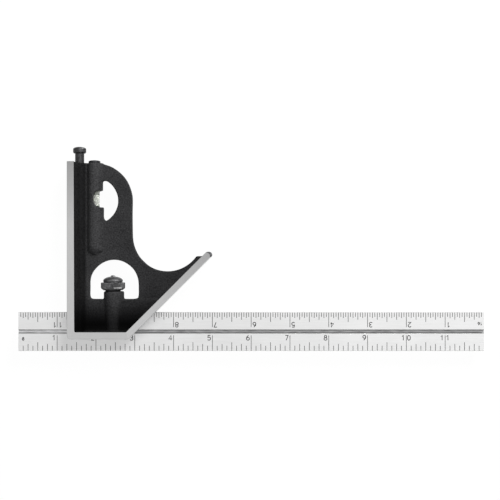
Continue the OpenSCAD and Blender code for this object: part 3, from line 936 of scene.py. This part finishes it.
def ground_bands(sizes, enamel):
    """The crisp bands that frame the casting, each ground along its own direction."""
    edge, steps = sizes.edge / MM, 4
    turns = [math.pi / 2 * i / steps for i in range(steps + 1)]
    bottom = [(edge * (1 - math.cos(turn)), edge * (1 - math.sin(turn))) for turn in turns]
    top = [(HEAD_T - z, inset) for z, inset in reversed(bottom)]
    along, inward, tip_r = Vector((DIAGONAL, DIAGONAL)), Vector((-DIAGONAL, DIAGONAL)), MITRE_BAND / 2
    tip_centre = Vector((BASE_L, 0.0)) + along * (MITRE_L - tip_r) + inward * tip_r

    def tip_share(point):
        return max(0.0, (point - tip_centre).dot(along)) / tip_r

    def widen(point):
        # Edges that meet the work are rounded in full, those by the enamel hardly, and the arm's tip most
        outer = min(point.x, point.y) < 0.7 or point.x - point.y > BASE_L - 0.3
        return (1.0 if outer else 0.25) + 3.0 * tip_share(point)

    # The ground faces carry painted light and shade: brighter near the heel, darker away from it
    materials = [
        ground_iron("ground_square", sizes.ground_colour, 90.0, 66.0, 1.08),
        ground_iron("ground_base", sizes.ground_colour, 0.0, 45.0, 1.06),
        ground_iron("ground_mitre", sizes.ground_colour, 45.0, 30.0, 1.13),
        enamel,
        chalky("cast_skin", linear("#58585a")),
    ]
    on_square, on_base, on_mitre, on_enamel, on_skin = range(len(materials))
    bands = prism("ground_bands", band_outline(), bottom + top, materials, widen)
    carve(bands, slot_tool(), "DIFFERENCE")
    # The bolt's bore opens the base's band, from below it to above it
    below, above = -2.0, 9.0
    bore = [(0.0, below), (BOLT_R, below), (BOLT_R, above), (0.0, above)]
    carve(bands, turned("tool", bore, BOLT_X, []), "DIFFERENCE")
    score(bands, (0.0, 0.0), (SQUARE_BAND, BASE_INNER))
    score(bands, (BASE_L, 0.0), (MITRE_INNER + BASE_INNER, BASE_INNER))
    for face in bands.data.polygons:
        x, y, z = face.center
        # Front, back, outer sides and the bolt's bore are ground, and the arm's tip is left as it was cast
        flat = abs(face.normal.z) > 0.2
        outside = face.normal.y < -0.3 or (face.normal.x < -0.3 and x < SQUARE_BAND / 2)
        in_bore = math.hypot(x - BOLT_X, z - MID) < BOLT_R + 0.1 and y < BASE_BAND
        face.use_smooth = in_bore and abs(face.normal.y) < 0.5
        if tip_share(Vector((x, y))) > 0 and 0.003 < z < HEAD_T - 0.003:
            face.material_index = on_skin
        elif not (flat or outside or in_bore):
            face.material_index = on_enamel
        elif x - y > MITRE_INNER - 0.05 and x > BASE_L - MITRE_BAND * 1.5:
            face.material_index = on_mitre
        else:
            face.material_index = on_base if y < BASE_BAND and x > SQUARE_BAND else on_square
    place(to_metres(bands), "head", "head_iron", "square_head")


class SQUARE_OT_head(Operator):
    """Builds the square head: the enamelled casting with soft cast edges, and its crisp ground bands"""

    bl_idname = "square.head"
    bl_label = "Square head"

    def execute(self, context):
        sizes = context.scene.square_head
        enamel = wrinkle_enamel(sizes.enamel_colour)
        enamelled_casting(sizes, enamel)
        ground_bands(sizes, enamel)
        return {"FINISHED"}


def knurled_nut(sizes):
    """The lock nut: a neck, a flare, a knurled ring and a dome, with a bore for the bolt."""
    neck, flare, ring, lip, dome = 0.75, 1.35, 3.6, 1.1, 2.9
    neck_r, flare_r, ring_r, dome_r, under = 5.0, 6.375, 7.875, 6.45, 0.4
    bore = THREAD_R + 0.05
    neck_top, flare_top = BOSS_TOP + neck, BOSS_TOP + neck + flare
    ring_top = flare_top + ring
    outer = rounded(
        [
            (bore, BOSS_TOP, 0.0),
            (neck_r, BOSS_TOP, 0.15),
            (neck_r, neck_top, 0.15),
            (flare_r, neck_top, 0.2),
            (ring_r, flare_top, 0.5),
            (ring_r, ring_top, 0.3),
            (dome_r - under, ring_top, 0.2),
            (dome_r, ring_top + lip, 0.0),
        ]
    )
    outer += cap(dome_r, ring_top + lip, dome, 16, bore)
    inner = [Vector((bore, ring_top + lip + dome - 0.6)), Vector((bore, BOSS_TOP + 0.4))]
    # Short steps along the profile, for the knurl to fade over
    step, fine = 0.5, []
    for a, b in zip(outer, outer[1:]):
        parts = max(1, round((b - a).length / step))
        fine += [a.lerp(b, k / parts) for k in range(parts)]
    depth, ridges = sizes.knurl_depth / MM, sizes.ridges

    def knurl(r, y, angle):
        share = min(1.0, max(0.0, (r - ring_r + 2 * depth) / depth))
        saw = abs((angle * ridges / (2 * math.pi)) % 1.0 * 2 - 1)
        return r - depth * share * saw**1.3

    # The rim's bright steel is a painted highlight, and the neck's darker steel is painted shade
    materials = [
        black_oxide("oxide_nut", sizes.nut_colour, 0.5),
        bright_edge(linear("#f2f2f2"), "painted_rim_highlight", 1.0),
        black_oxide("shaded_neck_oxide", linear("#2c2c2d"), 0.6),
    ]
    on_rim_highlight, on_shaded_neck = 1, 2
    profile = fine + [outer[-1]] + inner
    nut = turned("knurled_nut", profile, BOLT_X, materials, sides=ridges * 8, closed=True, wave=knurl)
    for face in nut.data.polygons:
        x, y, z = face.center
        # Painted highlight: one stretch of the rim, at the front and to the right, is given bright steel
        if flare_top + 0.05 < y < flare_top + 0.5 and z > MID and 1.6 < x - BOLT_X < 6.2:
            face.material_index = on_rim_highlight
        # Painted shade: the neck, under the flare, is given darker steel
        elif y < neck_top + 0.25:
            face.material_index = on_shaded_neck
    nut.data.set_sharp_from_angle(angle=math.radians(40))
    place(to_metres(nut), "nut", "lock_steel", "lock_nut")


def draw_bolt(sizes):
    """The bolt: its body with the lug as in the solid, its edges broken, and a shank with thread and tip."""
    body = solid_copy("lock_bolt", "draw_bolt")
    carve(body, block((0.0, -PAST, -PAST), (2 * BOLT_X, SHOULDER_Y, HEAD_T + PAST)), "INTERSECT", True)
    soft_edges(body, 0.12)
    groove, crest = sizes.thread_depth / MM, THREAD_R - 0.02
    start, step = SHOULDER_Y - 0.5, 0.1
    tip_l, tip_cut = 1.3, 1.3

    def thread(r, y, angle):
        saw = abs((y / THREAD_PITCH - angle / (2 * math.pi)) % 1.0 * 2 - 1)
        tip = max(0.0, y - TIP_Y + tip_l) / tip_l
        return min(r - groove * saw, crest - tip_cut * tip**0.8)

    rows = round((TIP_Y - SHOULDER_Y) / step)
    heights = [start + (TIP_Y - start) * i / rows for i in range(rows + 1)]
    profile = [(0.0, start)] + [(crest, y) for y in heights] + [(0.0, TIP_Y)]
    shank = turned("draw_bolt_thread", profile, BOLT_X, [], sides=48, wave=thread)
    for made, finish in ((body, "oxide_draw_bolt"), (shank, "oxide_shank")):
        to_metres(made)
        made.data.materials.clear()
        made.data.materials.append(black_oxide(finish, sizes.bolt_colour, 0.32))
    place(body, "bolt", "lock_steel", "lock_bolt")
    place(shank, "bolt", "lock_steel")


class SQUARE_OT_lock(Operator):
    """Builds the lock: the knurled nut, the threaded bolt and the finish of its spring"""

    bl_idname = "square.lock"
    bl_label = "Lock"

    def execute(self, context):
        sizes = context.scene.square_lock
        knurled_nut(sizes)
        draw_bolt(sizes)
        finish_node("lock_spring", plain_metal("music_wire", linear("#b4b4b6"), 0.3))
        return {"FINISHED"}


class SQUARE_OT_scriber(Operator):
    """Builds the scriber with its knob and ground point, and the finish of its bushing"""

    bl_idname = "square.scriber"
    bl_label = "Scriber"

    def execute(self, context):
        sizes = context.scene.square_scriber
        top = CASTING_TOP
        stem, shank, knob = 1.6, 2.95, 4.25
        knob_foot, knob_top = top + 6.45, top + 9.26
        corners = [
            (0.0, top - 52.0, 0.0),
            (0.12, top - 51.9, 0.0),
            (stem, top - 43.0, 0.6),
            (stem, top - 12.5, 0.5),
            (shank, top - 10.5, 0.4),
            (shank, knob_foot, 0.2),
            (knob - 0.62, knob_foot, 0.15),
            (knob, top + 7.11, 0.25),
            (knob, knob_top, 0.0),
        ]
        outline = rounded(corners) + cap(knob, knob_top, 1.5, 16)
        steel = black_oxide("blued_steel", sizes.steel_colour, 0.46)
        pin = turned("scriber_pin", outline, SCRIBER_X, [steel], sides=64)
        pin.data.set_sharp_from_angle(angle=math.radians(40))
        place(to_metres(pin), "scriber", "scriber_steel", "scriber")
        finish_node("scriber_bushing", plain_metal("turned_brass", sizes.brass_colour, 0.3))
        return {"FINISHED"}


class SQUARE_OT_level(Operator):
    """Finishes the spirit level: glass, spirit, bubble, lines, cement and the plug"""

    bl_idname = "square.level"
    bl_label = "Spirit level"

    def execute(self, context):
        sizes = context.scene.square_level
        finish_node("vial_glass", clear("soda_glass", sizes.glass_colour, 1.1, 0.6, 0.34))
        finish_node("vial_fluid", clear("level_spirit", sizes.spirit_colour, 1.05))
        finish_node("vial_bubble", clear("air", linear("#ffffff"), 1.0))
        ink = chalky("line_ink", sizes.line_colour)
        glass_r, line_w, line_t = 2.9, 0.4, 0.05
        for name, y in (("upper_line", 94.15), ("lower_line", 86.3)):
            ring = [(glass_r, y - line_w / 2), (glass_r + line_t, y - line_w / 2)]
            ring += [(r, 2 * y - v) for r, v in reversed(ring)]
            line = turned(name, ring, VIAL_X, [ink], sides=64, closed=True)
            place(to_metres(line), "head", "line_paint", "vial_lines")
        finish_node("vial_stopper", chalky("cork", linear("#c9b48c")))
        cement = chalky("gypsum_cement", linear("#e4ded0"))
        finish_node("vial_bed_upper", cement)
        finish_node("vial_bed_lower", cement)
        # The plug sits a little off the vial's axis
        top, stem, head, side, off = CASTING_TOP, 3.16, 3.87, 1.1, 0.45
        corners = [
            (0.0, top - 2.4, 0.0),
            (stem, top - 2.4, 0.2),
            (stem, top, 0.0),
            (head, top, 0.15),
            (head, top + side, 0.0),
        ]
        outline = rounded(corners) + cap(head, top + side, 0.9, 12)
        steel = black_oxide("oxide_plug", linear("#343436"), 0.4)
        plug = turned("level_plug", outline, VIAL_X - off, [steel], sides=64)
        plug.data.set_sharp_from_angle(angle=math.radians(40))
        place(to_metres(plug), "head", "plug_steel", "vial_plug")
        return {"FINISHED"}


def camera_above(sizes):
    """The camera, straight above what is the middle of the picture."""
    middle = (118.24 * MM, 57.65 * MM)
    lens = bpy.data.cameras.new("camera")
    lens.sensor_width = 36.0
    lens.lens = sizes.lens
    lens.clip_start = 0.01
    lens.clip_end = 20.0
    camera = bpy.data.objects.new("camera", lens)
    camera.location = (*middle, sizes.distance)
    bpy.context.scene.collection.objects.link(camera)
    return camera


# The lamps, soft and round: place, aim, width, and share of the key's power
LAMPS = {
    "key": ((330, 490, 365), (60, 50, 0), 350, 1.0),
    "fill": ((-450, -200, 300), (100, 50, 0), 500, 0.1),
    "edge": ((150, -420, 330), (60, 50, 0), 160, 0.1),
}


def hang_lamps(sizes):
    """Each lamp is there twice: one lights every piece and is mirrored in none, and the other, its glint, is
    mirrored in the dark steel alone, so that the bright rule shows its lines from every side."""
    for name, (spot, aim, width, share) in LAMPS.items():
        lamp = bpy.data.lights.new(name, "AREA")
        lamp.shape = "DISK"
        lamp.size = width * MM
        lamp.energy = sizes.key_power * share
        for ending in ("", "_glint"):
            light = bpy.data.objects.new(name + ending, lamp)
            light.location = Vector(spot) * MM
            light.rotation_euler = (Vector(aim) - Vector(spot)).to_track_quat("-Z", "Y").to_euler()
            light.visible_glossy = bool(ending)
            light.visible_diffuse = not ending
            if ending:
                light.light_linking.receiver_collection = glints()
            bpy.context.scene.collection.objects.link(light)


def white_room(sizes):
    """The room: white where it is seen, weaker on plain surfaces, and in reflections with a dim horizon and
    a dim stripe left of the middle, so that round metal shows its form."""
    world = bpy.data.worlds.new("white_room")
    world.use_nodes = True
    tree = world.node_tree
    tree.nodes.clear()
    rays = add(tree, "LightPath").outputs
    way = add(tree, "SeparateXYZ", [add(tree, "TexCoord").outputs["Generated"]]).outputs
    height = add(tree, "MapRange", [way["Z"], 0.1, 0.92, 0.2, 1.0])
    right = add(tree, "MapRange", [way["X"], -0.04, 0.1, 0.7, 1.0])
    left = add(tree, "MapRange", [way["X"], -0.22, -0.11, 1.28, 1.0])
    sides = add(tree, "Math", [left, right], operation="MULTIPLY")
    mirrored = add(tree, "Math", [height, sides], operation="MULTIPLY")
    unseen = {"Value": rays["Is Glossy Ray"], "To Min": sizes.ambient, "To Max": mirrored}
    seen = add(tree, "Math", [rays["Is Camera Ray"], rays["Is Transmission Ray"]], operation="MAXIMUM")
    strength = {"Value": seen, "To Min": add(tree, "MapRange", unseen), "To Max": 1.0}
    white = {"Color": (1.0, 1.0, 1.0, 1.0), "Strength": add(tree, "MapRange", strength)}
    add(tree, "OutputWorld", {"Surface": add(tree, "Background", white)})
    return world


def white_card():
    """Card for the floor: it shows white with a faint shadow, and throws back the light of pale card."""
    card = bpy.data.materials.new("white_card")
    card.use_nodes = True
    tree = card.node_tree
    tree.nodes.clear()
    rays = add(tree, "LightPath").outputs
    seen = add(tree, "Math", [rays["Is Camera Ray"], rays["Is Glossy Ray"]], operation="MAXIMUM")
    seen = add(tree, "Math", [seen, rays["Is Transmission Ray"]], operation="MAXIMUM")
    matt = add(tree, "BsdfDiffuse", {"Color": (*linear("#e7e7e7"), 1.0)})
    faint = add(tree, "BsdfDiffuse", {"Color": (*linear("#3f3f3f"), 1.0)})
    glow = add(tree, "Emission", {"Color": (1.0, 1.0, 1.0, 1.0), "Strength": 0.97})
    shown = add(tree, "AddShader", [faint, glow])
    add(tree, "OutputMaterial", {"Surface": add(tree, "MixShader", [seen, matt, shown])})
    return card


class SQUARE_OT_stage(Operator):
    """Sets up the camera, the soft lamps, the white room and the pale floor"""

    bl_idname = "square.stage"
    bl_label = "Studio"

    def execute(self, context):
        scene, sizes = context.scene, context.scene.square_stage
        scene.view_settings.view_transform = "Standard"
        scene.camera = camera_above(sizes)
        hang_lamps(sizes)
        scene.world = white_room(sizes)
        half, low = 3000.0, -0.05
        corners = [(-half, -half, low), (half, -half, low), (half, half, low), (-half, half, low)]
        to_metres(piece("floor", corners, [(0, 1, 2, 3)], [white_card()], smooth=False))
        return {"FINISHED"}


class SQUARE_PT_panel(Panel):
    """Lists the square's pieces and their settings"""

    bl_idname = "SQUARE_PT_panel"
    bl_label = "Combination square"
    bl_space_type = "VIEW_3D"
    bl_region_type = "UI"
    bl_category = "Square"

    def draw(self, context):
        for operator in OPERATORS:
            self.layout.operator(operator.bl_idname)
            group = "square_" + operator.bl_idname.split(".")[1]
            settings = getattr(context.scene, group)
            for name in GROUPS[group].__annotations__:
                self.layout.prop(settings, name)


OPERATORS = (
    SQUARE_OT_stage,
    SQUARE_OT_head,
    SQUARE_OT_rule,
    SQUARE_OT_lock,
    SQUARE_OT_scriber,
    SQUARE_OT_level,
)


def register():
    for each in (*GROUPS.values(), *OPERATORS, SQUARE_PT_panel):
        bpy.utils.register_class(each)
    for name, group in GROUPS.items():
        setattr(bpy.types.Scene, name, PointerProperty(type=group))


def unregister():
    for name in GROUPS:
        delattr(bpy.types.Scene, name)
    for each in (SQUARE_PT_panel, *reversed(OPERATORS), *reversed(list(GROUPS.values()))):
        bpy.utils.unregister_class(each)


def main():
    register()
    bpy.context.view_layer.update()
    square = bpy.ops.square
    for step in (square.stage, square.head, square.rule, square.lock, square.scriber, square.level):
        step()


if __name__ == "__main__":
    main()
